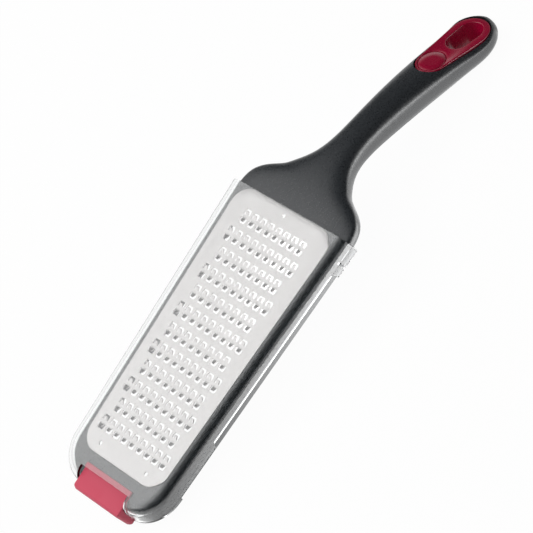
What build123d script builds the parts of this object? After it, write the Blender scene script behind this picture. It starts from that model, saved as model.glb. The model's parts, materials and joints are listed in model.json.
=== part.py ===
"""Hand grater with fine two-way teeth, a soft foot on its tip and a clear slide-on cover.

All sizes are in millimetres. X runs along the tool from the tip to the grip, Y across it and Z
up out of the toothed side. The origin is the middle of the foot's sole, the face that the tool
is pressed against the board with, and the toothed plate is parallel to that sole.
"""
import math
import os

from build123d import *

# Toothed plate: one punched stainless sheet, narrower at the tip
sheet_thick = 0.6
plate_tip_x = 10.0
plate_long = 132.0
plate_wide_at_tip = 54.0
plate_wide_at_grip = 63.8
plate_corner = 9.2
plate_recess = 0.2
plate_side_gap = 0.1

# Teeth: staggered rows of two-way teeth, each a strip cut free and raised at both ends
tooth_rows = 12
teeth_in_even_row = 9
tooth_pitch = 5.4
row_pitch = 9.72
first_row_x = 23.0
tooth_slot_wide = 4.4
tooth_slot_long = 2.9
tooth_root_long = 1.1
tooth_wide = 2.5
tooth_tongue_long = 2.1
tooth_rise = 0.75
pin_hole_across = 2.0
pin_hole_tip_x = 14.6
pin_hole_tip_y = 16.2
pin_hole_grip_x = 138.4

# Moulded frame round the plate
frame_bottom = 0.6
frame_height = 9.1
frame_margin = 4.5
frame_tip_x = -2.15
frame_tip_corner = 15.8
frame_top_round = 4.6
frame_bottom_bevel = 1.0
side_lean = 0.09
ledge_wide = 2.0
ledge_thick = 1.6
window_foot_margin = 0.3

# Shoulder and grip
shoulder_x = 142.3
shoulder_half_wide = 37.8
shoulder_bottom = 0.8
flare_middle_x = 158.7
flare_run_near = 3.55
flare_run_far = 7.15
neck_x = 178.0
neck_half_wide = 7.43
grip_widen_share = 0.067
top_arc_x = 138.1
top_arc_radius = 212.0
top_lift_from_x = 235.0
top_lift_to_x = 255.0
top_lift = 1.5
belly_bend_x = 154.5
belly_bend_radius = 25.3
belly_angle = 20.7
belly_lift_from_x = 235.5
belly_lift_to_x = 261.7
belly_lift = 3.7
shoulder_squareness = 3.7
grip_squareness = 2.84

# Rounded end of the grip: how its width and height shrink towards the tip
end_centre_x = 249.7
end_reach = 12.3
end_lift = 3.2
end_wide_power = 1.14
end_high_power = 0.34

# Red plate in the end of the grip, with the hole to hang the tool by
insert_x = 231.1
insert_sink = 0.9
insert_tilt = 24.9
insert_small_radius = 7.6
insert_big_radius = 9.8
insert_long = 22.3
insert_thick = 2.4
insert_groove = 0.6
insert_edge_bevel = 0.4
disc_radius = 6.7
disc_groove_wide = 0.6
disc_groove_deep = 0.4
hang_small_radius = 5.7
hang_big_radius = 6.0
hang_from_disc = 16.2
hang_long = 7.1
hang_sleeve_wall = 1.0
hang_sleeve_deep = 5.2

# Soft foot, wrapped over the front bar of the frame
foot_half_wide = 16.0
foot_high = 10.8
foot_nose_x = -7.6
foot_flap_x = 5.1
foot_sole_x = 6.5
foot_flap_thick = 1.5
foot_sole_thick = 1.6
foot_tongue_x = 0.4
foot_edge_bevel = 0.6

# Clear cover
cover_wall = 1.4
cover_gap = 0.3
cover_top = 13.1
cover_open_x = 142.0
cover_top_round = 5.7
cover_tip_skirt = 2.2
cover_mid_skirt = 3.8
cover_cut_skirt = 5.6
cover_tab_skirt = 3.6
cover_tip_skirt_x = 14.6
cover_cut_from_x = 40.5
cover_cut_to_x = 128.0
cover_cut_round = 1.4
cover_slit_x = 132.4
cover_slit_wide = 1.0
cover_slit_high = 2.6
notch_back_x = 2.7
notch_half_wide = 16.6
notch_edge_round = 0.4

# Rib of the cover and the groove of the frame that hold the cover down
rail_bottom = 4.2
rail_high = 1.0
rail_gap = 0.25
rail_bite = 0.25
rail_from_x = 134.6
rail_to_x = 140.0
rail_free_run = 8.4
rail_groove_depth = 0.8

# Sections that the grip's skin runs through
section_steps = 24
shoulder_steps = 10
grip_steps = 7
end_turns = (18, 36, 52, 66, 78, 86)

overrun = 1.0

plate_half_tip = plate_wide_at_tip / 2
side_slope = (plate_wide_at_grip - plate_wide_at_tip) / 2 / plate_long
frame_top = frame_bottom + frame_height
plate_under = frame_top - plate_recess
plate_top = plate_under + sheet_thick
cover_margin = frame_margin + cover_gap + cover_wall


def ease(value, start, end):
    """Go from 0 at start to 1 at end, level at both."""
    share = min(max((value - start) / (end - start), 0), 1)
    return share * share * (3 - 2 * share)


def side_at(x, margin):
    """Half width of the head at x, margin outside the plate's side."""
    return plate_half_tip + margin + side_slope * (x - plate_tip_x)


def head_outline(tip_x, grip_x, margin, tip_corner, grip_corner=0):
    """Tapered outline that follows the plate's sides, with its corners rounded."""
    tip_half = side_at(tip_x, margin)
    grip_half = side_at(grip_x, margin)
    corners = [(tip_x, -tip_half), (grip_x, -grip_half), (grip_x, grip_half), (tip_x, tip_half)]
    outline = make_face(Polyline(*corners, close=True))
    outline = fillet(outline.vertices().group_by(Axis.X)[0], tip_corner)
    if grip_corner:
        outline = fillet(outline.vertices().group_by(Axis.X)[-1], grip_corner)
    return outline


def block(x_range, y_range, z_range):
    """Box between two x, two y and two z values."""
    size = [high - low for low, high in (x_range, y_range, z_range)]
    middle = [(high + low) / 2 for low, high in (x_range, y_range, z_range)]
    return Pos(*middle) * Box(*size)


def two_circle_outline(x_one, radius_one, x_two, radius_two):
    """Outline of two circles on the X axis and the straight lines that touch both."""
    first = Pos(x_one, 0) * Edge.make_circle(radius_one)
    second = Pos(x_two, 0) * Edge.make_circle(radius_two)
    return make_hull([first, second])


# Frame, shoulder and grip

def lean_at(z):
    """How much further out the head's sides are at height z than at the frame's top."""
    return side_lean * (frame_top - z)


def head_block(tip_x, grip_x, margin, tip_corner, low, high):
    """Solid of the head's outline between two heights, with its sides leaning out downwards."""
    lean = lean_at(low)
    outline = head_outline(tip_x - lean, grip_x + overrun, margin + lean, tip_corner + lean)
    taper = math.degrees(math.atan(side_lean))
    solid = extrude(Pos(0, 0, low) * outline, high - low, taper=taper)
    return split(solid, bisect_by=Plane.YZ.offset(grip_x), keep=Keep.BOTTOM)


def rim_edges(face):
    """Edges round the head's top or bottom face, except at its grip end."""
    return face.edges().sort_by(Axis.X)[:-1]


def round_top(solid, radius):
    """Round the rim of the head's top."""
    return fillet(rim_edges(solid.faces().sort_by(Axis.Z)[-1]), radius)


def grip_top_z(x):
    """Top line of the grip: level with the frame, then one long arc downwards."""
    run = max(x - top_arc_x, 0)
    drop = top_arc_radius - math.sqrt(top_arc_radius ** 2 - run ** 2)
    return frame_top - drop + top_lift * ease(x, top_lift_from_x, top_lift_to_x)


def grip_bottom_z(x):
    """Bottom line of the grip: level, a bend, a straight slope, and a lift towards the end."""
    slope = math.radians(belly_angle)
    bend_run = belly_bend_radius * math.sin(slope)
    run = min(max(x - belly_bend_x, 0), bend_run)
    drop = belly_bend_radius - math.sqrt(belly_bend_radius ** 2 - run ** 2)
    drop += max(x - belly_bend_x - bend_run, 0) * math.tan(slope)
    return shoulder_bottom - drop + belly_lift * ease(x, belly_lift_from_x, belly_lift_to_x)


def grip_half_width(x):
    """Half width of the grip: the shoulder's flare, the neck, and a slow widening to the end."""
    flare_run = flare_run_near if x < flare_middle_x else flare_run_far
    flare = 1 / (1 + math.exp((x - flare_middle_x) / flare_run))
    widen = grip_widen_share * (x - neck_x)
    return neck_half_wide + widen + flare * (shoulder_half_wide - neck_half_wide - widen)


def grip_section(x, half_wide, low, high):
    """Upright section of the grip at x: box-like at the shoulder, nearly oval along the grip."""
    softening = ease(x, shoulder_x, neck_x)
    squareness = shoulder_squareness + softening * (grip_squareness - shoulder_squareness)
    half_high = (high - low) / 2
    points = []
    for step in range(section_steps):
        turn = 2 * math.pi * step / section_steps
        across = math.copysign(abs(math.sin(turn)) ** (2 / squareness), math.sin(turn))
        up = math.copysign(abs(math.cos(turn)) ** (2 / squareness), math.cos(turn))
        points.append(Vector(x, half_wide * across, low + half_high * (1 + up)))
    shares = [step / section_steps for step in range(section_steps + 1)]
    return make_face(Edge.make_spline(points, periodic=True, parameters=shares)).face()


def make_grip():
    """Shoulder and grip as one skin through upright sections, closed by a rounded end."""
    flare_end_x = neck_x - flare_run_far
    shoulder_run = flare_end_x - shoulder_x
    grip_run = end_centre_x - flare_end_x
    stations = [shoulder_x + shoulder_run * step / shoulder_steps for step in range(shoulder_steps)]
    stations += [flare_end_x + grip_run * step / grip_steps for step in range(grip_steps + 1)]
    sections = [grip_section(x, grip_half_width(x), grip_bottom_z(x), grip_top_z(x)) for x in stations]
    for turn in end_turns:
        x = end_centre_x + end_reach * math.sin(math.radians(turn))
        shrink = math.cos(math.radians(turn))
        low, high = grip_bottom_z(x), grip_top_z(x)
        half_high = (high - low) / 2 * shrink ** end_high_power
        middle = (high + low) / 2 + end_lift * math.sin(math.radians(turn))
        half_wide = grip_half_width(x) * shrink ** end_wide_power
        sections.append(grip_section(x, half_wide, middle - half_high, middle + half_high))
    return loft(sections)


def make_window():
    """Opening under the plate: a ledge carries the sheet, and the wall below it leans out."""
    ledge_under = plate_under - ledge_thick
    plate_grip_x = plate_tip_x + plate_long

    def opening(inset):
        return head_outline(plate_tip_x + inset, plate_grip_x - inset, -inset,
                            plate_corner - inset, plate_corner - inset)

    mouth = Pos(0, 0, frame_bottom) * opening(window_foot_margin)
    wall_high = ledge_under - frame_bottom
    taper = math.degrees(math.atan((ledge_wide - window_foot_margin) / wall_high))
    lower = extrude(mouth, wall_high, taper=taper)
    throat = Pos(0, 0, ledge_under) * opening(ledge_wide)
    upper = extrude(throat, frame_top - ledge_under + overrun)
    seat = head_outline(plate_tip_x - plate_side_gap, plate_grip_x + plate_side_gap,
                        plate_side_gap, plate_corner, plate_corner)
    recess = extrude(Pos(0, 0, plate_under) * seat, plate_recess + sheet_thick)
    return lower + upper + recess


def make_rail_grooves():
    """Groove in each flank of the frame, long enough for the cover's rib to run clear of it."""
    grooves = []
    groove_from_x = rail_from_x - rail_free_run
    low = rail_bottom - rail_gap
    high = rail_bottom + rail_high + rail_gap
    flank = frame_margin + lean_at(rail_bottom)
    for side in (-1, 1):
        inner = [(x, side * side_at(x, flank - rail_groove_depth)) for x in (groove_from_x, shoulder_x)]
        outer = [(x, side * side_at(x, flank + overrun)) for x in (shoulder_x, groove_from_x)]
        flat = make_face(Polyline(*inner, *outer, close=True))
        grooves.append(extrude(Pos(0, 0, low) * flat, high - low))
    return grooves


def make_handle_frame():
    """Charcoal moulding: frame round the blade, shoulder and grip in one piece."""
    frame = head_block(frame_tip_x, shoulder_x, frame_margin, frame_tip_corner, frame_bottom, frame_top)
    frame = round_top(frame, frame_top_round)
    frame = chamfer(rim_edges(frame.faces().sort_by(Axis.Z)[0]), frame_bottom_bevel)
    frame += make_grip()
    frame -= make_window()
    for groove in make_rail_grooves():
        frame -= groove
    foot_space = block((frame_tip_x - overrun, foot_tongue_x), (-foot_half_wide, foot_half_wide),
                       (frame_bottom - overrun, frame_top + overrun))
    flap_seat = block((foot_tongue_x - overrun, foot_flap_x), (-foot_half_wide, foot_half_wide),
                      (foot_high - foot_flap_thick, frame_top + overrun))
    sole_seat = block((foot_tongue_x - overrun, foot_sole_x), (-foot_half_wide, foot_half_wide),
                      (frame_bottom - overrun, foot_sole_thick))
    frame -= foot_space + flap_seat + sole_seat
    return frame - make_insert_pocket()


# Red plate in the grip

def insert_plane():
    """Plane of the red plate's face: centred on its disc and tilted with the grip's top."""
    tilt = math.radians(insert_tilt)
    centre = (insert_x, 0, grip_top_z(insert_x) - insert_sink)
    along = (math.cos(tilt), 0, -math.sin(tilt))
    return Plane(origin=centre, x_dir=along, z_dir=(math.sin(tilt), 0, math.cos(tilt)))


def insert_outline(margin):
    """Outline of the red plate, grown by margin."""
    return two_circle_outline(0, insert_small_radius + margin, insert_long, insert_big_radius + margin)


def hang_outline(margin):
    """Outline of the hole to hang the tool by, grown by margin."""
    return two_circle_outline(hang_from_disc, hang_small_radius + margin,
                              hang_from_disc + hang_long, hang_big_radius + margin)


def make_insert_pocket():
    """Space in the grip for the red plate, its sleeve and the hole that runs through."""
    face = insert_plane()
    rise = insert_small_radius
    plate_space = extrude(Pos(0, 0, -insert_thick) * insert_outline(insert_groove), insert_thick + rise)
    sleeve_space = extrude(Pos(0, 0, -hang_sleeve_deep) * hang_outline(hang_sleeve_wall),
                           hang_sleeve_deep)
    depth = grip_top_z(insert_x) - grip_bottom_z(insert_x) + rise
    through = extrude(Pos(0, 0, -depth) * hang_outline(0), depth + rise)
    return face * (plate_space + sleeve_space + through)


def make_hang_insert():
    """Red plate with a bare disc in a ring groove, and a sleeve that lines the hole."""
    plate = extrude(Pos(0, 0, -insert_thick) * insert_outline(0), insert_thick)
    plate += extrude(Pos(0, 0, -hang_sleeve_deep) * hang_outline(hang_sleeve_wall), hang_sleeve_deep)
    plate -= extrude(Pos(0, 0, -hang_sleeve_deep) * hang_outline(0), hang_sleeve_deep)
    plate = chamfer(plate.faces().sort_by(Axis.Z)[-1].edges(), insert_edge_bevel)
    ring = Circle(disc_radius) - Circle(disc_radius - disc_groove_wide)
    plate -= extrude(Pos(0, 0, -disc_groove_deep) * ring, disc_groove_deep)
    return insert_plane() * plate


# Toothed plate

def tooth_places():
    """Middle of every two-way tooth: odd rows hold one tooth fewer, half a pitch across."""
    places = []
    for row in range(tooth_rows):
        count = teeth_in_even_row - row % 2
        for tooth in range(count):
            places.append((first_row_x + row * row_pitch, (tooth - (count - 1) / 2) * tooth_pitch))
    return places


def make_tooth():
    """Strip across one pair of slots: flat in the middle and raised at its two free ends."""
    root = tooth_root_long / 2
    free = root + tooth_tongue_long
    under = plate_top - sheet_thick
    upper = [(-free, plate_top + tooth_rise), (-root, plate_top), (root, plate_top),
             (free, plate_top + tooth_rise)]
    lower = [(free, under + tooth_rise), (root, under), (-root, under), (-free, under + tooth_rise)]
    profile = Plane.XZ * make_face(Polyline(*upper, *lower, close=True))
    return extrude(profile, tooth_wide / 2, both=True)


def make_grater_plate():
    """Sheet with its rows of slots, a raised strip in each pair and three small holes."""
    flat = head_outline(plate_tip_x, plate_tip_x + plate_long, 0, plate_corner, plate_corner)
    slot = Rectangle(tooth_slot_long, tooth_slot_wide)
    slot_offset = (tooth_root_long + tooth_slot_long) / 2
    pin_hole = Circle(pin_hole_across / 2)
    pin_places = [(pin_hole_tip_x, side * pin_hole_tip_y) for side in (-1, 1)]
    pin_places.append((pin_hole_grip_x, 0))
    cuts = [Pos(x + end * slot_offset, y) * slot for x, y in tooth_places() for end in (-1, 1)]
    cuts += [Pos(x, y) * pin_hole for x, y in pin_places]
    flat -= cuts
    sheet = extrude(Pos(0, 0, plate_under) * flat, sheet_thick)
    tooth = make_tooth()
    return sheet + [Pos(x, y) * tooth for x, y in tooth_places()]


# Soft foot

def make_tip_foot():
    """Soft boot: a round nose with a flap above and a sole below, hooked over the front bar."""
    nose_radius = foot_high / 2
    nose_centre_x = foot_nose_x + nose_radius
    nose = ThreePointArc((nose_centre_x, foot_high), (foot_nose_x, nose_radius), (nose_centre_x, 0))
    under_flap = foot_high - foot_flap_thick
    back = Polyline((nose_centre_x, 0), (foot_sole_x, 0), (foot_sole_x, foot_sole_thick),
                    (foot_tongue_x, foot_sole_thick), (foot_tongue_x, under_flap),
                    (foot_flap_x, under_flap), (foot_flap_x, foot_high), (nose_centre_x, foot_high))
    profile = Plane.XZ * make_face([*nose.edges(), *back.edges()])
    foot = extrude(profile, foot_half_wide, both=True)
    return chamfer(foot.edges().filter_by(GeomType.CIRCLE), foot_edge_bevel)


# Clear cover

def make_cover_skirt_cuts():
    """What is cut from the cover's sides: long openings, a slit beside each tab, a shorter middle."""
    reach = side_at(cover_open_x, cover_margin) + 2 * overrun
    across = (-reach, reach)
    down = -overrun
    opening = block((cover_cut_from_x, cover_cut_to_x), across, (down, cover_cut_skirt))
    top_corners = opening.edges().filter_by(Axis.Y).group_by(Axis.Z)[-1]
    opening = fillet(top_corners, cover_cut_round)
    middle = block((cover_tip_skirt_x, cover_cut_from_x + overrun), across, (down, cover_mid_skirt))
    slit_side = (cover_slit_x, cover_slit_x + cover_slit_wide)
    slit = block(slit_side, across, (down, cover_tab_skirt + cover_slit_high))
    return opening + middle + slit


def make_cover_ribs():
    """Rib inside each side of the cover, which runs in the frame's groove."""
    ribs = []
    flank = frame_margin + lean_at(rail_bottom)
    wall_middle = flank + cover_gap + cover_wall / 2
    for side in (-1, 1):
        inner = [(x, side * side_at(x, flank - rail_bite)) for x in (rail_from_x, rail_to_x)]
        outer = [(x, side * side_at(x, wall_middle)) for x in (rail_to_x, rail_from_x)]
        flat = make_face(Polyline(*inner, *outer, close=True))
        ribs.append(extrude(Pos(0, 0, rail_bottom) * flat, rail_high))
    return ribs


def make_blade_cover():
    """Clear shell over the head: closed round the tip, open at the grip and below."""
    spacing = cover_gap + cover_wall
    outer_tip_x = frame_tip_x - spacing
    shell = head_block(outer_tip_x, cover_open_x, cover_margin, frame_tip_corner + spacing,
                       cover_tip_skirt, cover_top)
    shell = round_top(shell, cover_top_round)
    hollow = head_block(frame_tip_x - cover_gap, cover_open_x + overrun, frame_margin + cover_gap,
                        frame_tip_corner + cover_gap, cover_tip_skirt - overrun, cover_top - cover_wall)
    shell -= round_top(hollow, cover_top_round - cover_wall)
    for rib in make_cover_ribs():
        shell += rib
    shell -= make_cover_skirt_cuts()
    notch = block((outer_tip_x - 2 * overrun, notch_back_x), (-notch_half_wide, notch_half_wide),
                  (cover_tip_skirt - overrun, cover_top + overrun))
    shell -= notch
    mouth_edges = shell.edges().filter_by(Axis.Z).group_by(Axis.X)[0]
    return fillet(mouth_edges, notch_edge_round)


parts = {
    "handle_frame": make_handle_frame,
    "grater_plate": make_grater_plate,
    "tip_foot": make_tip_foot,
    "hang_insert": make_hang_insert,
    "blade_cover": make_blade_cover,
}

os.makedirs("parts", exist_ok=True)
for name, make in parts.items():
    solid = make()
    export_step(solid, f"parts/{name}.step")
    print(name, f"{solid.volume:.1f} mm3", solid.bounding_box())
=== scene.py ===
"""Studio scene of a hand grater with two-way teeth, a soft foot and a clear cover.

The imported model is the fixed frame. Lengths in the classes of the object are in millimetres, as
on a drawing, and every mesh is scaled to metres when it is handed over. Lamps and camera are
placed in metres. X runs along the tool from the tip to the grip, Y across it and Z up out of the
toothed side.
"""

import json
import logging
import math
from dataclasses import dataclass
from enum import Enum
from typing import Any, Callable, Sequence

import bmesh
import bpy
from mathutils import Matrix, Vector

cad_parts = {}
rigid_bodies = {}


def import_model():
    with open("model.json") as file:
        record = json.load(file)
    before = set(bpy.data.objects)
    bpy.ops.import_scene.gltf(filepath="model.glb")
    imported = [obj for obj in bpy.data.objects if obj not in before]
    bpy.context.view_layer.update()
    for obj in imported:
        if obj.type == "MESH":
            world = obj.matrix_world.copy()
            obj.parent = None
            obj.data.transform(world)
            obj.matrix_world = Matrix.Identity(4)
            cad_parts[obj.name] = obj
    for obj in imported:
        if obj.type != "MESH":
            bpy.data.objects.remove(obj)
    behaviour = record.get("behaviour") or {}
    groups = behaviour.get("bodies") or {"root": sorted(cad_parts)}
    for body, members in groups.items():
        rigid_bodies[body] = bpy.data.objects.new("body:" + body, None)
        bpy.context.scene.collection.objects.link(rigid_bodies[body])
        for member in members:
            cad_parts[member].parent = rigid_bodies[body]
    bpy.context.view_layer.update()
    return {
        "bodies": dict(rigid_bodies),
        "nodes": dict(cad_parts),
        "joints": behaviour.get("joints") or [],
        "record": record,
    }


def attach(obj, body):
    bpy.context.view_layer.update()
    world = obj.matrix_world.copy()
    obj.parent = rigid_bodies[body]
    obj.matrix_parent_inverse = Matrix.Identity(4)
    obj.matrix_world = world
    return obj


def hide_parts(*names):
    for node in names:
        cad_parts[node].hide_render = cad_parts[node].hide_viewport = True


log = logging.getLogger("rasp_zester")
MM = 0.001
# Corners of the CAD skin closer than this many metres are one.
WELD_M = 1e-6
# A corner this many millimetres from a cutting plane lies on it.
SNAP_MM = 1e-5
# A corner this many millimetres from a line of the drawing belongs to it.
TOUCH_MM = 1e-3
# A bevel with this profile is round.
ROUND_PROFILE = 0.5
# Nearly all values of a noise texture lie in here.
NOISE_SPAN = (0.3, 0.7)
# An area lamp's radiance is its power over its area and this.
LAMP_SPREAD = 4
WHITE = "#FFFFFF"

Ring = list[bmesh.types.BMEdge]
Outline = Callable[[float], tuple[float, float]]
Tree = bpy.types.NodeTree
Socket = bpy.types.NodeSocket
Span = tuple[float, float]


class Body(str, Enum):
    """The two bodies that pieces ride on."""

    GRATER = "grater"
    COVER = "cover"


class Slot(str, Enum):
    """Material slots of the record."""

    CHARCOAL = "charcoal_plastic"
    STEEL = "stainless_sheet"
    RUBBER = "red_rubber"
    RED = "red_plastic"
    CLEAR = "clear_plastic"


# Colours and nodes


def linear(hex_colour: str) -> tuple[float, float, float, float]:
    """Turn an sRGB hex colour into linear light.

    Args:
        hex_colour: Six hex digits with a leading hash.

    Returns:
        Red, green, blue and an alpha of one.
    """
    toe_end, toe_slope, offset, gamma = 0.04045, 12.92, 0.055, 2.4
    shares = [int(hex_colour[place:place + 2], 16) / 255 for place in (1, 3, 5)]
    light = [share / toe_slope if share <= toe_end else ((share + offset) / (1 + offset)) ** gamma
             for share in shares]
    return light[0], light[1], light[2], 1.0


def around(middle: float, reach: float) -> Span:
    """Both ends of a span that reaches equally far to either side of its middle."""
    return middle - reach, middle + reach


def clear_tree(owner: bpy.types.Material | bpy.types.World | bpy.types.Light) -> Tree:
    """Turn on the nodes of a material, world or lamp, and empty their tree."""
    owner.use_nodes = True
    owner.node_tree.nodes.clear()
    return owner.node_tree


def add_node(tree: Tree, kind: str, inputs: dict[Any, Any] | None = None) -> bpy.types.Node:
    """Add a node with its settings and links.

    Args:
        tree: Node tree that gets the node.
        kind: Type name of the node.
        inputs: Values by attribute name, or values and output sockets by input name or number.

    Returns:
        The new node.
    """
    node = tree.nodes.new(kind)
    for key, value in (inputs or {}).items():
        if isinstance(value, bpy.types.NodeSocket):
            tree.links.new(value, node.inputs[key])
        elif isinstance(key, str) and hasattr(node, key):
            setattr(node, key, value)
        else:
            node.inputs[key].default_value = value
    return node


def combine(tree: Tree, operation: str, first: float | Socket, second: float | Socket) -> Socket:
    """Combine two values by an operation of the math node."""
    node = add_node(tree, "ShaderNodeMath", {"operation": operation, 0: first, 1: second})
    return node.outputs["Value"]


def remap(tree: Tree, value: Socket, span: Span,
          ends: tuple[float | Socket, float | Socket], curve: str = "LINEAR") -> Socket:
    """Turn a span of values into another one.

    Args:
        tree: Node tree that gets the node.
        value: The value. Outside the span it counts as the nearer end.
        span: Both ends of the span.
        ends: What the two ends turn into.
        curve: How the result runs from one end to the other.

    Returns:
        The result.
    """
    node = add_node(tree, "ShaderNodeMapRange",
                    {"interpolation_type": curve, "From Min": span[0], "From Max": span[1],
                     "To Min": ends[0], "To Max": ends[1], "Value": value})
    return node.outputs["Result"]


def add_bump(tree: Tree, height: Socket, strength: float, depth_mm: float) -> Socket:
    """Turn a height into a bumpy normal."""
    node = add_node(tree, "ShaderNodeBump",
                    {"Strength": strength, "Distance": depth_mm * MM, "Height": height})
    return node.outputs["Normal"]


def mix_shaders(tree: Tree, share: Socket, first: Socket, second: Socket) -> Socket:
    """Mix two shaders by the share of the second one."""
    node = add_node(tree, "ShaderNodeMixShader", {0: share, 1: first, 2: second})
    return node.outputs["Shader"]


# Meshes


def hand_over(bm: bmesh.types.BMesh, name: str, sharp_angle: float) -> bpy.types.Object:
    """Turn a mesh in millimetres into a smooth piece in metres.

    Args:
        bm: The finished mesh, which is freed.
        name: Name of the piece.
        sharp_angle: Edges that turn by more than this many degrees stay crisp.

    Returns:
        The piece, at the origin, in the scene.
    """
    bmesh.ops.scale(bm, vec=(MM, MM, MM), verts=bm.verts)
    bm.normal_update()
    for face in bm.faces:
        face.smooth = True
    for edge in bm.edges:
        edge.smooth = edge.calc_face_angle(0) < math.radians(sharp_angle)
    mesh = bpy.data.meshes.new(name)
    bm.to_mesh(mesh)
    bm.free()
    piece = bpy.data.objects.new(name, mesh)
    bpy.context.scene.collection.objects.link(piece)
    return piece


def cad_skin(frame: dict[str, Any], node: str) -> bmesh.types.BMesh:
    """Take a CAD solid's own skin in millimetres, with its facets joined up.

    Args:
        frame: The loaded frame.
        node: The solid's node.

    Returns:
        A new mesh.
    """
    bm = bmesh.new()
    bm.from_mesh(frame["nodes"][node].data)
    bmesh.ops.remove_doubles(bm, verts=bm.verts, dist=WELD_M)
    bmesh.ops.scale(bm, vec=(1 / MM, 1 / MM, 1 / MM), verts=bm.verts)
    return bm


def cut_through(bm: bmesh.types.BMesh, axis: int, value: float) -> None:
    """Cut a mesh along a plane square to one axis, and keep both sides."""
    direction = Vector((0, 0, 0))
    direction[axis] = 1
    bmesh.ops.bisect_plane(bm, geom=bm.verts[:] + bm.edges[:] + bm.faces[:], dist=SNAP_MM,
                           plane_co=direction * value, plane_no=direction)


def sharp_edges(bm: bmesh.types.BMesh, angle: float) -> Ring:
    """Edges that turn by more than so many degrees."""
    return [edge for edge in bm.edges if edge.calc_face_angle(0) > math.radians(angle)]


def round_edges(bm: bmesh.types.BMesh, edges: Ring, radius: float, segments: int,
                clamp: bool = False) -> None:
    """Round edges over. A clamped round stops where it would run into another one."""
    bmesh.ops.bevel(bm, geom=edges, offset=radius, segments=segments, profile=ROUND_PROFILE,
                    affect="EDGES", material=-1, clamp_overlap=clamp)


def add_ring(bm: bmesh.types.BMesh, outline: Outline, height: float, count: int) -> Ring:
    """Add a closed ring of edges that follows an outline.

    Args:
        bm: Mesh that gets the ring.
        outline: Gives the two flat coordinates at a turn in radians.
        height: Third coordinate of the whole ring.
        count: How many edges the ring has.

    Returns:
        The ring's edges.
    """
    made = bmesh.ops.create_circle(bm, segments=count, radius=1)
    verts = made["verts"]
    for vert in verts:
        turn = math.atan2(vert.co.y, vert.co.x)
        vert.co = Vector((*outline(turn), height))
    inside = set(verts)
    return [edge for edge in bm.edges if edge.verts[0] in inside and edge.verts[1] in inside]


def bridge(bm: bmesh.types.BMesh, rings: Sequence[Ring]) -> None:
    """Join each ring to the next with a band of faces."""
    for first, second in zip(rings, rings[1:]):
        bmesh.ops.bridge_loops(bm, edges=[*first, *second])


def two_circle(x_one: float, radius_one: float, x_two: float, radius_two: float,
               margin: float = 0) -> Outline:
    """Outline round two circles on the first axis, as a belt round two wheels.

    Args:
        x_one: Centre of the first circle.
        radius_one: Radius of the first circle.
        x_two: Centre of the second circle.
        radius_two: Radius of the second circle.
        margin: How much the outline is grown.

    Returns:
        The outline as a function of the direction that it faces.
    """
    touch = math.pi / 2 + math.asin((radius_two - radius_one) / (x_two - x_one))

    def point(turn: float) -> tuple[float, float]:
        far = abs(turn) < touch
        centre = x_two if far else x_one
        radius = (radius_two if far else radius_one) + margin
        return centre + radius * math.cos(turn), radius * math.sin(turn)

    return point


# Finishes


@dataclass(frozen=True)
class Finish:
    """What all finishes share: a name, the record's slot and the main colour."""

    name: str
    slot: Slot
    colour: str

    def surface(self, tree: Tree, place: Socket) -> Socket:
        """Build the surface shader and return its output."""
        raise NotImplementedError

    def material(self) -> bpy.types.Material:
        """Build the material.

        Returns:
            A new material with its node tree.
        """
        material = bpy.data.materials.new(self.name)
        tree = clear_tree(material)
        place = add_node(tree, "ShaderNodeTexCoord").outputs["Object"]
        add_node(tree, "ShaderNodeOutputMaterial", {"Surface": self.surface(tree, place)})
        return material


@dataclass(frozen=True)
class MouldedPlastic(Finish):
    """Injection-moulded plastic or rubber under a fine sparked grain.

    The grain breaks the lamp's reflection into a soft sheen, and the gloss and the colour vary
    a little with it.
    """

    roughness: float
    grain_mm: float
    grain_depth_mm: float
    ior: float
    fleck: float = 0.04
    gloss_share: float = 0.25
    grain_strength: float = 0.5

    def surface(self, tree: Tree, place: Socket) -> Socket:
        """Build the surface shader and return its output."""
        grain = add_node(tree, "ShaderNodeTexNoise",
                         {"Scale": 1 / (self.grain_mm * MM), "Detail": 3.0, "Roughness": 0.6,
                          "Vector": place}).outputs["Fac"]
        fleck = remap(tree, grain, NOISE_SPAN, around(1, self.fleck))
        colour = add_node(tree, "ShaderNodeVectorMath",
                          {"operation": "SCALE", 0: linear(self.colour)[:3], "Scale": fleck})
        gloss = remap(tree, grain, NOISE_SPAN,
                      around(self.roughness, self.roughness * self.gloss_share))
        normal = add_bump(tree, grain, self.grain_strength, self.grain_depth_mm)
        shader = add_node(tree, "ShaderNodeBsdfPrincipled",
                          {"IOR": self.ior, "Base Color": colour.outputs["Vector"],
                           "Roughness": gloss, "Normal": normal})
        return shader.outputs["BSDF"]


@dataclass(frozen=True)
class BrushedSteel(Finish):
    """Rolled stainless sheet with a fine brushing along the tool, which draws highlights out."""

    roughness: float
    stroke_wide_mm: float
    stroke_long_mm: float
    stroke_depth_mm: float = 0.004
    stroke_strength: float = 0.1
    gloss_reach: float = 0.05

    def surface(self, tree: Tree, place: Socket) -> Socket:
        """Build the surface shader and return its output."""
        sizes = (self.stroke_long_mm, self.stroke_wide_mm, self.stroke_wide_mm)
        lay = add_node(tree, "ShaderNodeMapping",
                       {"Scale": tuple(1 / (size * MM) for size in sizes), "Vector": place})
        strokes = add_node(tree, "ShaderNodeTexNoise",
                           {"Scale": 1.0, "Detail": 4.0,
                            "Vector": lay.outputs["Vector"]}).outputs["Fac"]
        gloss = remap(tree, strokes, (0.0, 1.0), around(self.roughness, self.gloss_reach))
        normal = add_bump(tree, strokes, self.stroke_strength, self.stroke_depth_mm)
        shader = add_node(tree, "ShaderNodeBsdfPrincipled",
                          {"Base Color": linear(self.colour), "Metallic": 1.0,
                           "Roughness": gloss, "Normal": normal})
        return shader.outputs["BSDF"]


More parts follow.
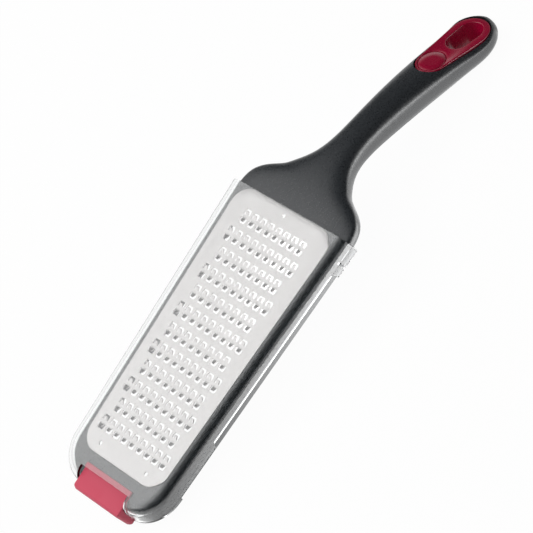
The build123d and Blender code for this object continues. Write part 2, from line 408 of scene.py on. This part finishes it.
@dataclass(frozen=True)
class ClearMoulding(Finish):
    """Clear styrene moulding: thin, glossy and very slightly wavy.

    Lamps shine through it, so that what it covers is lit as it is without it.
    """

    roughness: float
    ior: float
    shade_colour: str
    ripple_mm: float = 14.0
    ripple_depth_mm: float = 0.02
    ripple_strength: float = 0.1

    def surface(self, tree: Tree, place: Socket) -> Socket:
        """Build the surface shader and return its output."""
        ripple = add_node(tree, "ShaderNodeTexNoise",
                          {"Scale": 1 / (self.ripple_mm * MM), "Detail": 0.0,
                           "Vector": place}).outputs["Fac"]
        normal = add_bump(tree, ripple, self.ripple_strength, self.ripple_depth_mm)
        glass = add_node(tree, "ShaderNodeBsdfPrincipled",
                         {"Base Color": linear(self.colour), "Roughness": self.roughness,
                          "IOR": self.ior, "Transmission Weight": 1.0, "Normal": normal})
        through = add_node(tree, "ShaderNodeBsdfTransparent", {"Color": linear(self.shade_colour)})
        path = add_node(tree, "ShaderNodeLightPath")
        return mix_shaders(tree, path.outputs["Is Shadow Ray"], glass.outputs["BSDF"],
                           through.outputs["BSDF"])


CHARCOAL_POLYPROPYLENE = MouldedPlastic(
    "charcoal_polypropylene_spark_moulded", Slot.CHARCOAL, "#2A2D30",
    roughness=0.32, grain_mm=0.7, grain_depth_mm=0.09, ior=1.6, fleck=0.3)
RED_SOFT_RUBBER = MouldedPlastic(
    "raspberry_soft_rubber_moulded", Slot.RUBBER, "#CF4860",
    roughness=0.46, grain_mm=0.6, grain_depth_mm=0.03, ior=1.5)
RED_ABS = MouldedPlastic(
    "raspberry_abs_satin_moulded", Slot.RED, "#93062F",
    roughness=0.26, grain_mm=0.3, grain_depth_mm=0.004, ior=1.54)
BRUSHED_STAINLESS = BrushedSteel(
    "stainless_sheet_fine_brushed", Slot.STEEL, "#BAB7B6",
    roughness=0.36, stroke_wide_mm=0.12, stroke_long_mm=6.0)
CLEAR_STYRENE = ClearMoulding(
    "clear_styrene_polished_moulded", Slot.CLEAR, "#FBFCFC",
    roughness=0.02, ior=1.59, shade_colour="#F4F5F5")
# Painted highlight: the cover's trimmed open end gets an opaque near-white band that stands in for
# the bright line its edge catches.
STYRENE_EDGE_PAINTED_HIGHLIGHT = MouldedPlastic(
    "clear_styrene_edge_painted_highlight", Slot.CLEAR, "#F4F6F7",
    roughness=0.4, grain_mm=0.5, grain_depth_mm=0.01, ior=1.57)


def dress(piece: bpy.types.Object, finish: Finish) -> None:
    """Give a piece one finish."""
    piece.data.materials.clear()
    piece.data.materials.append(finish.material())


# The object


@dataclass
class HandleFrame:
    """Charcoal moulding: the frame round the plate, the shoulder and the grip."""

    node: str = "handle_frame"
    sharp_angle: float = 32.0

    def build(self, frame: dict[str, Any]) -> bpy.types.Object:
        """Shade the CAD solid's own skin smooth.

        Args:
            frame: The loaded frame.

        Returns:
            The piece.
        """
        piece = hand_over(cad_skin(frame, self.node), "frame_and_grip", self.sharp_angle)
        dress(piece, CHARCOAL_POLYPROPYLENE)
        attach(piece, Body.GRATER.value)
        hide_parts(self.node)
        return piece


@dataclass
class GraterPlate:
    """Punched stainless sheet with staggered two-way teeth."""

    thick: float = 0.6
    under: float = 9.5
    tip_x: float = 10.0
    long: float = 132.0
    wide_at_tip: float = 54.0
    wide_at_grip: float = 63.8
    corner: float = 9.2
    corner_steps: int = 12
    rows: int = 12
    teeth_in_even_row: int = 9
    pitch: float = 5.4
    row_pitch: float = 9.72
    first_row_x: float = 23.0
    slot_half_wide: float = 1.95
    slot_end: float = 3.4
    slot_corner: float = 0.3
    slot_corner_run: float = 0.75
    root_half: float = 0.85
    bend_at: float = 1.35
    tongue_end: float = 2.45
    tongue_half: float = 1.0
    tongue_end_half: float = 0.72
    taper_power: float = 2
    rise: float = 0.55
    rise_power: float = 1.3
    pin_holes: tuple[tuple[float, float], ...] = ((14.6, 16.2), (14.6, -16.2), (138.4, 0.0))
    pin_radius: float = 1.0
    rim_round: float = 0.25
    rim_band: float = 2.8
    rim_off_pin: float = 2.0
    sharp_angle: float = 25.0

    def places(self) -> list[tuple[float, float]]:
        """Middle of every tooth."""
        found = []
        for row in range(self.rows):
            count = self.teeth_in_even_row - row % 2
            x = self.first_row_x + row * self.row_pitch
            found += [(x, (tooth - (count - 1) / 2) * self.pitch) for tooth in range(count)]
        return found

    def outline_face(self, bm: bmesh.types.BMesh) -> None:
        """Make the sheet's flat tapered outline with rounded corners."""
        grip_x = self.tip_x + self.long
        corners = [(self.tip_x, -self.wide_at_tip / 2), (grip_x, -self.wide_at_grip / 2),
                   (grip_x, self.wide_at_grip / 2), (self.tip_x, self.wide_at_tip / 2)]
        bm.faces.new([bm.verts.new((x, y, 0)) for x, y in corners])
        bmesh.ops.bevel(bm, geom=bm.verts[:], offset=self.corner, segments=self.corner_steps,
                        profile=ROUND_PROFILE, affect="VERTICES", material=-1)

    def grid(self, bm: bmesh.types.BMesh) -> None:
        """Cut the lines that the slots, tongues and pin holes need."""
        across: list[float] = []
        half = self.pitch / 2
        reach = self.teeth_in_even_row
        for step in range(-reach, reach + 1):
            across.append(step * half)
            for offset in (self.tongue_half, self.slot_half_wide - self.slot_corner_run,
                           self.slot_half_wide):
                across += around(step * half, offset)
        along: list[float] = []
        for row in range(self.rows):
            middle = self.first_row_x + row * self.row_pitch
            for offset in (self.root_half, self.bend_at, self.tongue_end, self.slot_end):
                along += around(middle, offset)
        for x, y in self.pin_holes:
            for offset in (self.pin_radius, self.pin_radius * math.tan(math.pi / 8)):
                along += around(x, offset)
                across += around(y, offset)
        widest = self.teeth_in_even_row / 2 * self.pitch
        for axis, values in enumerate((along, [y for y in across if abs(y) < widest])):
            for value in sorted({round(value, 4) for value in values}):
                cut_through(bm, axis, value)

    def opens(self, spot: Vector, places: Sequence[tuple[float, float]]) -> bool:
        """Whether a spot of the flat sheet is punched out."""
        for x, y in places:
            along, across = abs(spot.x - x), abs(spot.y - y)
            in_slot = self.root_half < along < self.slot_end and across < self.slot_half_wide
            if in_slot and (along > self.tongue_end or across > self.tongue_half):
                return True
        return any(max(abs(spot.x - x), abs(spot.y - y)) < self.pin_radius
                   for x, y in self.pin_holes)

    def shape_slots(self, bm: bmesh.types.BMesh, places: Sequence[tuple[float, float]]) -> None:
        """Round the slots' corners, and raise and taper the tongues."""
        for vert in bm.verts:
            for x, y in places:
                along, across = vert.co.x - x, vert.co.y - y
                if abs(along) > self.slot_end + TOUCH_MM:
                    continue
                if abs(across) > self.slot_half_wide + TOUCH_MM:
                    continue
                at_end = abs(abs(along) - self.slot_end) < TOUCH_MM
                at_side = abs(abs(across) - self.slot_half_wide) < TOUCH_MM
                in_gap = self.root_half + TOUCH_MM < abs(along) < self.slot_end - TOUCH_MM
                if at_end and at_side:
                    vert.co.x -= math.copysign(self.slot_corner, along)
                    vert.co.y -= math.copysign(self.slot_corner, across)
                elif in_gap and abs(across) < self.tongue_half + TOUCH_MM:
                    share = (abs(along) - self.root_half) / (self.tongue_end - self.root_half)
                    taper = 1 - self.tongue_end_half / self.tongue_half
                    vert.co.z = self.rise * share ** self.rise_power
                    vert.co.y = y + across * (1 - taper * share ** self.taper_power)

    def round_pin_holes(self, bm: bmesh.types.BMesh) -> None:
        """Draw the square outlines of the pin holes in to circles."""
        for vert in bm.verts:
            for x, y in self.pin_holes:
                along, across = vert.co.x - x, vert.co.y - y
                if abs(max(abs(along), abs(across)) - self.pin_radius) < TOUCH_MM:
                    inward = self.pin_radius / math.hypot(along, across)
                    vert.co.x = x + along * inward
                    vert.co.y = y + across * inward

    def round_rim(self, bm: bmesh.types.BMesh) -> None:
        """Round the sheet's outer top edge, which rolls over a little where it was cut."""
        top = self.under + self.thick
        grip_x = self.tip_x + self.long
        slope = (self.wide_at_grip - self.wide_at_tip) / 2 / self.long
        square_slack, height_slack = 0.3, 0.01
        rim = []
        for edge in bm.edges:
            one, two = edge.verts
            middle = (one.co + two.co) / 2
            if abs(edge.calc_face_angle(0) - math.pi / 2) > square_slack:
                continue
            if abs(middle.z - top) >= height_slack or one.co.z != two.co.z:
                continue
            side = self.wide_at_tip / 2 + slope * (middle.x - self.tip_x)
            outer = min(middle.x - self.tip_x, grip_x - middle.x, side - abs(middle.y))
            by_pin = any(math.hypot(middle.x - x, middle.y - y) < self.rim_off_pin
                         for x, y in self.pin_holes)
            if outer < self.rim_band and not by_pin:
                rim.append(edge)
        round_edges(bm, rim, self.rim_round, segments=3)

    def build(self) -> bpy.types.Object:
        """Build the sheet.

        Returns:
            The piece.
        """
        bm = bmesh.new()
        self.outline_face(bm)
        self.grid(bm)
        places = self.places()
        waste = [face for face in bm.faces if self.opens(face.calc_center_median(), places)]
        bmesh.ops.delete(bm, geom=waste, context="FACES")
        self.shape_slots(bm, places)
        self.round_pin_holes(bm)
        bmesh.ops.recalc_face_normals(bm, faces=bm.faces)
        if sum(face.normal.z for face in bm.faces) < 0:
            bmesh.ops.reverse_faces(bm, faces=bm.faces)
        bmesh.ops.solidify(bm, geom=bm.faces[:], thickness=self.thick)
        low = min(vert.co.z for vert in bm.verts)
        bmesh.ops.translate(bm, vec=(0, 0, self.under - low), verts=bm.verts)
        bmesh.ops.recalc_face_normals(bm, faces=bm.faces)
        self.round_rim(bm)
        piece = hand_over(bm, "toothed_sheet", self.sharp_angle)
        dress(piece, BRUSHED_STAINLESS)
        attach(piece, Body.GRATER.value)
        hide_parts("grater_plate")
        return piece


@dataclass
class TipFoot:
    """Soft rubber boot hooked over the front bar of the frame."""

    half_wide: float = 16.0
    high: float = 10.8
    nose_x: float = -7.6
    flap_x: float = 5.1
    sole_x: float = 6.5
    flap_thick: float = 1.5
    sole_thick: float = 1.6
    tongue_x: float = 0.4
    # Share of half the height, which leaves a narrow flat between the nose's two rounds.
    nose_round: float = 0.985
    end_round: float = 1.9
    edge_round: float = 0.5
    sharp_angle: float = 40.0

    def build(self) -> bpy.types.Object:
        """Build the boot from its side profile.

        Returns:
            The piece.
        """
        bm = bmesh.new()
        under_flap = self.high - self.flap_thick
        profile = [(self.nose_x, 0), (self.sole_x, 0), (self.sole_x, self.sole_thick),
                   (self.tongue_x, self.sole_thick), (self.tongue_x, under_flap),
                   (self.flap_x, under_flap), (self.flap_x, self.high), (self.nose_x, self.high)]
        face = bm.faces.new([bm.verts.new((x, -self.half_wide, z)) for x, z in profile])
        made = bmesh.ops.extrude_face_region(bm, geom=[face])
        moved = [item for item in made["geom"] if isinstance(item, bmesh.types.BMVert)]
        bmesh.ops.translate(bm, vec=(0, 2 * self.half_wide, 0), verts=moved)
        bmesh.ops.recalc_face_normals(bm, faces=bm.faces)
        nose = [edge for edge in bm.edges if all(v.co.x == self.nose_x for v in edge.verts)
                and edge.verts[0].co.z == edge.verts[1].co.z]
        round_edges(bm, nose, self.high / 2 * self.nose_round, segments=14)
        ends = [edge for edge in sharp_edges(bm, self.sharp_angle)
                if all(v.co.x < self.nose_x + self.high / 2 for v in edge.verts)]
        round_edges(bm, ends, self.end_round, segments=6, clamp=True)
        round_edges(bm, sharp_edges(bm, self.sharp_angle), self.edge_round, segments=3, clamp=True)
        piece = hand_over(bm, "rubber_foot", self.sharp_angle)
        dress(piece, RED_SOFT_RUBBER)
        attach(piece, Body.GRATER.value)
        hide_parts("tip_foot")
        return piece


@dataclass
class HangInsert:
    """Red plate in the end of the grip: a bare disc in a ring groove, and the hanging hole."""

    x: float = 231.1
    z: float = -12.69
    tilt: float = 24.9
    small_radius: float = 7.6
    big_radius: float = 9.8
    long: float = 22.3
    thick: float = 2.4
    edge_round: float = 0.42
    # How far in and down the corners of a rounded edge lie, as shares of its radius.
    edge_curve: tuple[Span, ...] = ((1.0, 0.0), (0.62, 0.08), (0.29, 0.29), (0.08, 0.62),
                                    (0.0, 1.0))
    # Radius and height of the rings from the plate over the groove up the disc's slight crown.
    disc_rings: tuple[Span, ...] = ((6.8, 0.0), (6.7, -0.1), (6.65, -0.4), (6.15, -0.4),
                                    (6.1, -0.12), (5.98, 0.0), (3.05, 0.02), (0.4, 0.03))
    hole_small: float = 5.7
    hole_big: float = 6.0
    hole_from: float = 16.2
    hole_long: float = 7.1
    sleeve_wall: float = 1.0
    sleeve_deep: float = 5.2
    liner_gap: float = 0.05
    liner_deep: float = 11.0
    liner_draft: float = 2.6
    liner_lip: float = 0.4
    liner_bend: float = 0.0135
    steps: int = 96
    sharp_angle: float = 50.0

    def outer(self, margin: float) -> Outline:
        """Outline of the plate, grown by margin."""
        return two_circle(0, self.small_radius, self.long, self.big_radius, margin)

    def hole(self, margin: float) -> Outline:
        """Outline of the hole, grown by margin."""
        return two_circle(self.hole_from, self.hole_small, self.hole_from + self.hole_long,
                          self.hole_big, margin)

    def circle(self, radius: float) -> Outline:
        """Circle round the disc's middle."""
        return lambda turn: (radius * math.cos(turn), radius * math.sin(turn))

    def follow_underside(self, ring: Ring) -> None:
        """Lift the liner's lower edge to stay inside the grip, which thins towards its end."""
        start = self.hole_from - self.hole_small
        for vert in {vert for edge in ring for vert in edge.verts}:
            vert.co.z += self.liner_bend * (vert.co.x - start) ** 2

    def add_rim(self, bm: bmesh.types.BMesh) -> list[Ring]:
        """Add the rings of the plate's rounded rim, from the top down."""
        rings = [add_ring(bm, self.outer(-self.edge_round * inward), -self.edge_round * down,
                          self.steps) for inward, down in self.edge_curve]
        return [*rings, add_ring(bm, self.outer(0), -self.thick, self.steps)]

    def add_bore(self, bm: bmesh.types.BMesh) -> list[Ring]:
        """Add the rings of the hole: down the liner, and up its outside and the sleeve."""
        rings = [add_ring(bm, self.hole(self.edge_round * inward), -self.edge_round * down,
                          self.steps) for inward, down in self.edge_curve]
        for grow in (-self.liner_draft, self.liner_lip - self.liner_draft, -self.liner_gap):
            rings.append(add_ring(bm, self.hole(grow), -self.liner_deep, self.steps))
            self.follow_underside(rings[-1])
        for grow, z in ((-self.liner_gap, -self.sleeve_deep),
                        (self.sleeve_wall, -self.sleeve_deep), (self.sleeve_wall, -self.thick)):
            rings.append(add_ring(bm, self.hole(grow), z, self.steps))
        return rings

    def build(self) -> bpy.types.Object:
        """Build the plate.

        Returns:
            The piece.
        """
        bm = bmesh.new()
        rim = self.add_rim(bm)
        bridge(bm, rim)
        bore = self.add_bore(bm)
        bridge(bm, bore)
        disc = [add_ring(bm, self.circle(radius), z, self.steps) for radius, z in self.disc_rings]
        bridge(bm, disc)
        bmesh.ops.edgeloop_fill(bm, edges=disc[-1])
        bmesh.ops.triangle_fill(bm, edges=[*rim[0], *bore[0], *disc[0]], use_beauty=True)
        bmesh.ops.triangle_fill(bm, edges=[*rim[-1], *bore[-1]], use_beauty=True)
        bmesh.ops.recalc_face_normals(bm, faces=bm.faces)
        turn = Matrix.Rotation(math.radians(self.tilt), 4, "Y")
        place = Matrix.Translation((self.x, 0, self.z))
        bmesh.ops.transform(bm, matrix=place @ turn, verts=bm.verts)
        piece = hand_over(bm, "hanging_insert", self.sharp_angle)
        dress(piece, RED_ABS)
        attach(piece, Body.GRATER.value)
        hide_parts("hang_insert")
        return piece


@dataclass
class BladeCover:
    """Clear cover that slides over the head, with an opaque near-white band at its open end as a
    painted highlight.
    """

    node: str = "blade_cover"
    sharp_angle: float = 32.0
    # Width of the opaque near-white band at the open end, a painted highlight of its edge.
    painted_highlight_band: float = 0.42

    def build(self, frame: dict[str, Any]) -> bpy.types.Object:
        """Shade the CAD solid's own skin smooth, and part off the band that carries the painted
        highlight.

        Args:
            frame: The loaded frame.

        Returns:
            The piece.
        """
        bm = cad_skin(frame, self.node)
        start = max(vert.co.x for vert in bm.verts) - self.painted_highlight_band
        cut_through(bm, 0, start)
        for face in bm.faces:
            face.material_index = int(face.calc_center_median().x > start)
        piece = hand_over(bm, "clear_cover", self.sharp_angle)
        dress(piece, CLEAR_STYRENE)
        piece.data.materials.append(STYRENE_EDGE_PAINTED_HIGHLIGHT.material())
        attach(piece, Body.COVER.value)
        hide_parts(self.node)
        return piece


# The studio


def hang_lamp(name: str, size: tuple[float, float], radiance: float, place: Matrix,
              unseen_by: Sequence[str]) -> bpy.types.Object:
    """Hang a flat lamp that shines from one side.

    Args:
        name: Name of the lamp.
        size: Its two sides in metres.
        radiance: How bright its face is.
        place: Where it hangs. It shines down its own Z axis.
        unseen_by: Kinds of ray that don't meet it.

    Returns:
        The lamp.
    """
    lamp = bpy.data.lights.new(name, "AREA")
    lamp.shape = "RECTANGLE"
    lamp.size, lamp.size_y = size
    lamp.energy = radiance * LAMP_SPREAD * size[0] * size[1]
    holder = bpy.data.objects.new(name, lamp)
    holder.matrix_world = place
    for ray in unseen_by:
        setattr(holder, f"visible_{ray}", False)
    bpy.context.scene.collection.objects.link(holder)
    log.info("%s placed", name)
    return holder


@dataclass
class StudioFloor:
    """White floor, tilted so that the tool lies on its foot and the end of its grip."""

    foot_x: float = -5.0
    foot_z: float = -0.05
    grip_x: float = 252.0
    grip_z: float = -31.3
    size: float = 6.0
    squares: int = 4
    colour: str = "#F2F2F2"
    glow: float = 0.965

    def tilt(self) -> float:
        """How far the floor is turned about Y, in radians."""
        return math.atan2(self.foot_z - self.grip_z, self.grip_x - self.foot_x)

    def paper(self) -> bpy.types.Material:
        """Build the floor's paper, which glows evenly where it is seen or mirrored."""
        material = bpy.data.materials.new("white_seamless_paper")
        tree = clear_tree(material)
        path = add_node(tree, "ShaderNodeLightPath")
        seen = combine(tree, "MAXIMUM", path.outputs["Is Camera Ray"],
                       path.outputs["Is Glossy Ray"])
        seen = combine(tree, "MAXIMUM", seen, path.outputs["Is Transmission Ray"])
        share = combine(tree, "MULTIPLY", seen, self.glow)
        paper = add_node(tree, "ShaderNodeBsdfDiffuse", {"Color": linear(self.colour)})
        glow = add_node(tree, "ShaderNodeEmission", {"Color": linear(WHITE), "Strength": 1.0})
        mix = mix_shaders(tree, share, paper.outputs["BSDF"], glow.outputs["Emission"])
        add_node(tree, "ShaderNodeOutputMaterial", {"Surface": mix})
        material.cycles.emission_sampling = "NONE"
        return material

    def build(self) -> bpy.types.Object:
        """Build the floor.

        Returns:
            The floor.
        """
        bm = bmesh.new()
        bmesh.ops.create_grid(bm, x_segments=self.squares, y_segments=self.squares,
                              size=self.size / 2 / MM)
        place = (Matrix.Translation((self.foot_x, 0, self.foot_z))
                 @ Matrix.Rotation(self.tilt(), 4, "Y"))
        bmesh.ops.transform(bm, matrix=place, verts=bm.verts)
        floor = hand_over(bm, "studio_floor", sharp_angle=40.0)
        floor.data.materials.append(self.paper())
        return floor


@dataclass
class Softbox:
    """Flat lamp that lights the object; its picture in glossy surfaces is the room's own."""

    name: str
    middle: tuple[float, float, float]
    target: tuple[float, float, float]
    wide: float
    high: float
    radiance: float

    def build(self) -> bpy.types.Object:
        """Build the lamp.

        Returns:
            The lamp.
        """
        away = (Vector(self.middle) - Vector(self.target)).normalized()
        up = away.cross(Vector((1, 0, 0))).normalized()
        turn = Matrix((up.cross(away).normalized(), up, away)).transposed()
        place = Matrix.Translation(self.middle) @ turn.to_4x4()
        return hang_lamp(self.name, (self.wide, self.high), self.radiance, place,
                         ("camera", "transmission", "glossy"))


@dataclass
class TableCard:
    """Bright card on the table beside the tool, which shows in glossy surfaces alone."""

    name: str
    along: Span
    across: Span
    radiance: float
    dim: float = 1.0
    lift: float = 0.002

    def build(self, floor: StudioFloor) -> bpy.types.Object:
        """Lay the card on the floor.

        Args:
            floor: The floor that it lies on.

        Returns:
            The card.
        """
        x, y = sum(self.along) / 2, sum(self.across) / 2
        tilt = floor.tilt()
        z = floor.foot_z * MM - math.tan(tilt) * (x - floor.foot_x * MM) + self.lift
        place = (Matrix.Translation((x, y, z)) @ Matrix.Rotation(tilt, 4, "Y")
                 @ Matrix.Rotation(math.pi, 4, "X"))
        size = (self.along[1] - self.along[0], self.across[1] - self.across[0])
        card = hang_lamp(self.name, size, self.radiance, place,
                         ("camera", "transmission", "diffuse"))
        if self.dim < 1:
            self.fade(card.data)
        return card

    def fade(self, lamp: bpy.types.AreaLight) -> None:
        """Let the card fade out towards its tip end."""
        tree = clear_tree(lamp)
        spot = add_node(tree, "ShaderNodeNewGeometry").outputs["Parametric"]
        parts = add_node(tree, "ShaderNodeSeparateXYZ", {0: spot})
        level = remap(tree, parts.outputs["X"], (0.0, 1.0), (self.dim, 1.0))
        glow = add_node(tree, "ShaderNodeEmission", {"Color": linear(WHITE), "Strength": level})
        add_node(tree, "ShaderNodeOutputLight", {"Surface": glow.outputs["Emission"]})


@dataclass
class StudioRoom:
    """Room round the table: white for the camera, a wide softbox behind in reflections.

    Directions have lengths of one, so x, y and z run from -1 to 1. Turns are measured round the
    X axis in degrees, from the horizon behind the tool (0) over the zenith (90) to the horizon
    on the camera's side (180).
    """

    ambient: float = 0.28
    softbox: float = 2.05
    softbox_low: Span = (26.0, 36.0)
    below_softbox: float = 0.4
    softbox_top: Span = (56.0, 70.0)
    overhead: float = 0.95
    overhead_end: float = 118.0
    softbox_right: Span = (0.15, 0.25)
    softbox_left: Span = (-0.95, -0.80)
    wall_by_head: float = 0.25
    wall_by_grip: float = 2.4
    head_to_grip: Span = (0.1, 0.35)
    wall_behind: float = 0.8
    front_to_behind: Span = (-0.4, 0.1)
    wall_top: float = 0.3
    dark: float = 0.01

    def softbox_level(self, tree: Tree, x: Socket, turn: Socket) -> Socket:
        """How bright the softbox and the ceiling over it are in a direction."""
        level: float | Socket = self.softbox
        low, high = (tuple(math.radians(v) for v in span)
                     for span in (self.softbox_low, self.softbox_top))
        ceiling = (high[1], math.radians(self.overhead_end))
        for value, span, ends, curve in (
                (turn, low, (self.below_softbox, 1.0), "SMOOTHSTEP"),
                (turn, high, (1.0, self.overhead), "SMOOTHSTEP"),
                (turn, ceiling, (1.0, 0.0), "LINEAR"),
                (x, self.softbox_right, (1.0, 0.0), "SMOOTHSTEP"),
                (x, self.softbox_left, (0.0, 1.0), "SMOOTHSTEP")):
            level = combine(tree, "MULTIPLY", level, remap(tree, value, span, ends, curve))
        return level

    def build(self) -> None:
        """Build the world."""
        world = bpy.data.worlds.new("studio_room")
        world.cycles.sampling_method = "NONE"
        tree = clear_tree(world)
        path = add_node(tree, "ShaderNodeLightPath")
        place = add_node(tree, "ShaderNodeTexCoord").outputs["Generated"]
        parts = add_node(tree, "ShaderNodeSeparateXYZ", {0: place})
        x, y, z = (parts.outputs[axis] for axis in "XYZ")
        softbox = self.softbox_level(tree, x, combine(tree, "ARCTAN2", z, y))
        front = remap(tree, x, self.head_to_grip, (self.wall_by_head, self.wall_by_grip))
        side = remap(tree, y, self.front_to_behind, (front, self.wall_behind))
        wall = remap(tree, z, (0.0, self.wall_top), (side, self.dark))
        mirrored = combine(tree, "MAXIMUM", wall, softbox)
        level = add_node(tree, "ShaderNodeMix",
                         {"data_type": "FLOAT", 0: path.outputs["Is Diffuse Ray"], 2: mirrored,
                          3: self.ambient}).outputs[0]
        room = add_node(tree, "ShaderNodeBackground", {"Color": linear(WHITE), "Strength": level})
        white = add_node(tree, "ShaderNodeBackground", {"Color": linear(WHITE), "Strength": 1.0})
        mix = mix_shaders(tree, path.outputs["Is Camera Ray"], room.outputs["Background"],
                          white.outputs["Background"])
        add_node(tree, "ShaderNodeOutputWorld", {"Surface": mix})
        bpy.context.scene.world = world


@dataclass
class PhotoCamera:
    """Long lens from the toothed side, with the tip towards the camera."""

    place: tuple[float, float, float] = (0.04266, -0.98896, 1.0383)
    pitch: float = 0.7622
    roll: float = -0.0516
    spin: float = -0.9852
    lens: float = 226.33
    sensor_wide: float = 36.0
    nearest: float = 0.01
    farthest: float = 50.0

    def build(self) -> bpy.types.Object:
        """Build the camera and make it the scene's own.

        Returns:
            The camera.
        """
        lens = bpy.data.cameras.new("photo_camera")
        lens.lens = self.lens
        lens.sensor_width = self.sensor_wide
        lens.clip_start = self.nearest
        lens.clip_end = self.farthest
        holder = bpy.data.objects.new("photo_camera", lens)
        turn = (Matrix.Rotation(self.pitch, 4, "X") @ Matrix.Rotation(self.roll, 4, "Y")
                @ Matrix.Rotation(self.spin, 4, "Z"))
        holder.matrix_world = Matrix.Translation(self.place) @ turn
        bpy.context.scene.collection.objects.link(holder)
        bpy.context.scene.camera = holder
        return holder


TOOL_MIDDLE = (0.12, 0.0, 0.0)
SOFTBOXES = (
    Softbox("back_softbox", middle=(-0.13, 0.80, 0.91), target=TOOL_MIDDLE, wide=1.05, high=0.6,
            radiance=3.1),
    Softbox("overhead_fill", middle=(0.1, -0.2, 1.7), target=TOOL_MIDDLE, wide=1.2, high=1.2,
            radiance=1.26))
TABLE_CARDS = (
    TableCard("card_by_head", along=(0.0, 0.145), across=(-0.09, -0.034), radiance=5.9, dim=0.05),
    TableCard("card_by_grip", along=(0.145, 0.42), across=(-0.05, -0.008), radiance=0.9),
    TableCard("card_beyond_grip", along=(0.145, 0.42), across=(-0.6, -0.05), radiance=4.6))


def main() -> None:
    """Build the scene: camera, pieces, floor and light."""
    logging.basicConfig(level=logging.INFO, format="%(name)s: %(message)s")
    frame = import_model()
    PhotoCamera().build()
    pieces = [HandleFrame().build(frame), GraterPlate().build(), TipFoot().build(),
              HangInsert().build(), BladeCover().build(frame)]
    for piece in pieces:
        log.info("%s: %d faces", piece.name, len(piece.data.polygons))
    floor = StudioFloor()
    floor.build()
    StudioRoom().build()
    for softbox in SOFTBOXES:
        softbox.build()
    for card in TABLE_CARDS:
        card.build(floor)
    bpy.context.scene.view_settings.view_transform = "Standard"


if __name__ == "__main__":
    main()
